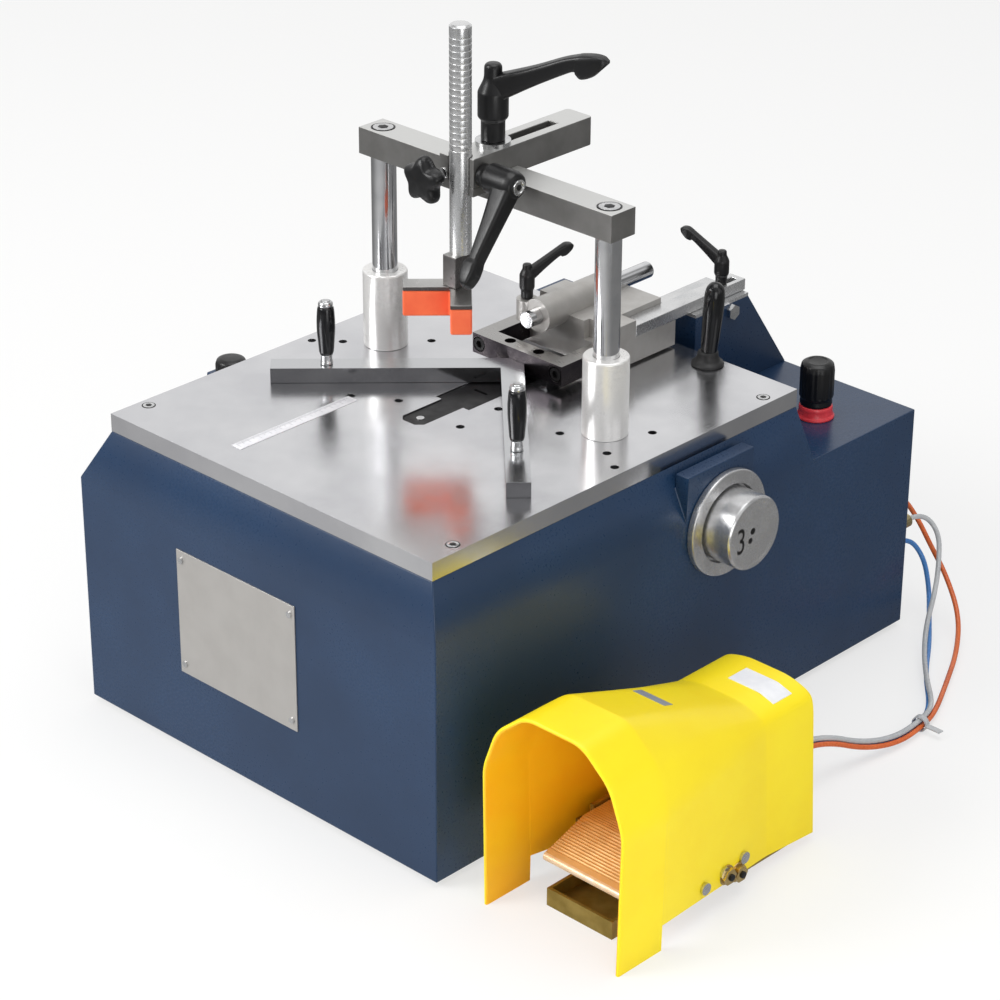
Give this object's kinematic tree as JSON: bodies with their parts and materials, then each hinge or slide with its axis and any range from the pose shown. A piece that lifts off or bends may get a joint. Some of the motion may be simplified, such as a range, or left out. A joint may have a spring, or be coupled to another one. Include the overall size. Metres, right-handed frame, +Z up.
{
  "type": "picture frame underpinner",
  "caption": "Bench pneumatic underpinner: polished table with V fences, column press with slotted arm and pad, nail driver inside and a guarded foot pedal.",
  "frame": {"origin": "centre of the base's bolt pattern, on the bench under the rubber feet", "axes": "+X to the operator's right, where the pedal stands; +Y to the rear; +Z up"},
  "size_m": [0.541, 0.5716, 0.53],
  "materials": {
    "navy_paint": "satin powder coat",
    "brushed_plate": "ground and polished plate with a fine brushed grain",
    "bare_steel": "plain machined steel",
    "bright_steel": "ground and plated bright steel",
    "cast_aluminium": "machined aluminium, slightly warm",
    "dark_steel": "blackened steel",
    "black_plastic": "moulded black plastic with a soft gloss",
    "black_rubber": "moulded rubber",
    "orange_pad": "orange polyurethane pad",
    "yellow_guard": "smooth yellow enamel",
    "gold_metal": "yellow passivated and copper coloured metal",
    "plated_brass": "nickel plated brass",
    "red_ring": "moulded red plastic",
    "white_print": "pale scale strip",
    "red_tube": "flexible plastic air line",
    "blue_tube": "flexible plastic air line",
    "clear_tube": "clear flexible plastic",
    "arm_metal": "milled steel"
  },
  "bodies": {
    "machine": {"casing": "navy_paint", "base_frame": "bare_steel", "rear_panel": "navy_paint", "rubber_feet": "black_rubber", "table": "brushed_plate", "machine_screws": "bright_steel", "magazine_cover": "dark_steel", "rule_strip": "white_print", "label_plate": "cast_aluminium", "label_rivets": "bright_steel", "column_tubes": "cast_aluminium", "press_cylinders": "bare_steel", "driver_cylinder": "bare_steel", "magazine": "bare_steel", "tower": "navy_paint", "tower_cap": "brushed_plate", "dial_flange": "cast_aluminium", "regulator_collar": "red_ring", "valve_posts": "plated_brass", "lever_boot": "black_plastic", "air_fittings": "plated_brass", "pedal_base": "gold_metal", "pedal_guard": "yellow_guard", "pedal_screws": "bright_steel", "pedal_valve": "cast_aluminium", "tube_red": "red_tube", "tube_blue": "blue_tube", "tube_clear": "clear_tube", "tie_wrap": "clear_tube"},
    "bridge": {"crossbar": "bare_steel", "bridge_screws": "bright_steel", "press_rods": "bright_steel"},
    "sliding_arm": {"arm": "arm_metal", "clamp_head": "dark_steel"},
    "arm_lever_body": {"arm_lever": "black_plastic"},
    "rod_lever_body": {"rod_lever": "black_plastic"},
    "star_knob_body": {"star_knob": "black_plastic"},
    "pressure_rod": {"clamp_rod": "bright_steel", "magnet_block": "bare_steel", "pad_plate": "bare_steel", "pressure_pad": "orange_pad"},
    "carriage": {"carriage_casting": "cast_aluminium", "nose_block": "dark_steel", "nose_screws": "bright_steel", "fence_left": "brushed_plate", "fence_right": "brushed_plate", "rail_bar": "brushed_plate"},
    "grip_left": {"fence_grip_left": "black_plastic"},
    "grip_right": {"fence_grip_right": "black_plastic"},
    "sleeve_lever_body": {"sleeve_lever": "black_plastic"},
    "backstop": {"backstop_rod": "bright_steel"},
    "rail_lever_body": {"rail_lever": "black_plastic"},
    "stop_lever_body": {"stop_lever": "black_plastic"},
    "dial": {"dial_knob": "black_plastic"},
    "regulator": {"regulator_knob": "black_plastic"},
    "side_valve": {"side_knob": "black_plastic"},
    "nail_driver": {"driver_blade": "bare_steel"},
    "pusher": {"nail_pusher": "bare_steel"},
    "pedal": {"treadle": "gold_metal"},
    "plunger": {"valve_plunger": "bright_steel"}
  },
  "joints": [
    {"name": "bridge_press", "type": "slide", "parent": "machine", "child": "bridge", "axis": [0, 0, 1], "range_m": [-0.04, 0]},
    {"name": "arm_reach", "type": "slide", "parent": "bridge", "child": "sliding_arm", "axis": [0, -1, 0], "range_m": [0, 0.058]},
    {"name": "arm_lever_swing", "type": "hinge", "parent": "bridge", "child": "arm_lever_body", "pos_m": [0, -0.0165, 0.436], "axis": [0, 0, 1], "range_deg": [-15, 150]},
    {"name": "rod_lever_swing", "type": "hinge", "parent": "sliding_arm", "child": "rod_lever_body", "pos_m": [0.0125, -0.04, 0.4187], "axis": [1, 0, 0], "range_deg": [-135, 30]},
    {"name": "star_knob_turn", "type": "hinge", "parent": "sliding_arm", "child": "star_knob_body", "pos_m": [-0.0167, -0.0495, 0.415], "axis": [0, 1, 0], "range_deg": [-180, 180]},
    {"name": "rod_height", "type": "slide", "parent": "sliding_arm", "child": "pressure_rod", "axis": [0, 0, 1], "range_m": [-0.022, 0.03]},
    {"name": "carriage_depth", "type": "slide", "parent": "machine", "child": "carriage", "axis": [0, 1, 0], "range_m": [-0.012, 0.008]},
    {"name": "left_grip_turn", "type": "hinge", "parent": "carriage", "child": "grip_left", "pos_m": [-0.0973, -0.0925, 0.254], "axis": [0, 0, 1], "range_deg": [-180, 180]},
    {"name": "right_grip_turn", "type": "hinge", "parent": "carriage", "child": "grip_right", "pos_m": [0.104, -0.0992, 0.254], "axis": [0, 0, 1], "range_deg": [-180, 180]},
    {"name": "sleeve_lever_swing", "type": "hinge", "parent": "carriage", "child": "sleeve_lever_body", "pos_m": [-0.02, 0.0415, 0.289], "axis": [0, 0, 1], "range_deg": [-90, 60]},
    {"name": "backstop_depth", "type": "slide", "parent": "carriage", "child": "backstop", "axis": [0, 1, 0], "range_m": [-0.012, 0.03]},
    {"name": "rail_lever_swing", "type": "hinge", "parent": "machine", "child": "rail_lever_body", "pos_m": [0.043, 0.1925, 0.2735], "axis": [0, 0, 1], "range_deg": [-90, 90]},
    {"name": "stop_lever_tilt", "type": "hinge", "parent": "machine", "child": "stop_lever_body", "pos_m": [0.0885, 0.125, 0.248], "axis": [1, 0, 0], "range_deg": [-8, 8]},
    {"name": "dial_turn", "type": "hinge", "parent": "machine", "child": "dial", "pos_m": [0.184, 0.0345, 0.1775], "axis": [1, 0, 0], "range_deg": [-150, 150]},
    {"name": "regulator_turn", "type": "hinge", "parent": "machine", "child": "regulator", "pos_m": [0.136, 0.1985, 0.19], "axis": [0, 0, 1], "range_deg": [-720, 720]},
    {"name": "side_valve_turn", "type": "hinge", "parent": "machine", "child": "side_valve", "pos_m": [-0.181, -0.1135, 0.226], "axis": [0, 0, 1], "range_deg": [-360, 360]},
    {"name": "nail_drive", "type": "slide", "parent": "machine", "child": "nail_driver", "axis": [0, 0, 1], "range_m": [0, 0.016]},
    {"name": "pusher_feed", "type": "slide", "parent": "machine", "child": "pusher", "axis": [0, 1, 0], "range_m": [-0.04, 0.01]},
    {"name": "pedal_press", "type": "hinge", "parent": "machine", "child": "pedal", "pos_m": [0.281, -0.1225, 0.04], "axis": [1, 0, 0], "range_deg": [0, 8], "stiffness_Nm_per_rad": 2, "springref_deg": -14.32},
    {"name": "plunger_travel", "type": "slide", "parent": "machine", "child": "plunger", "axis": [0, 1, 0], "range_m": [0, 0.0036]}
  ],
  "couplings": [
    {"joint": "plunger_travel", "follows": "pedal_press", "m_per_rad": 0.024}
  ]
}
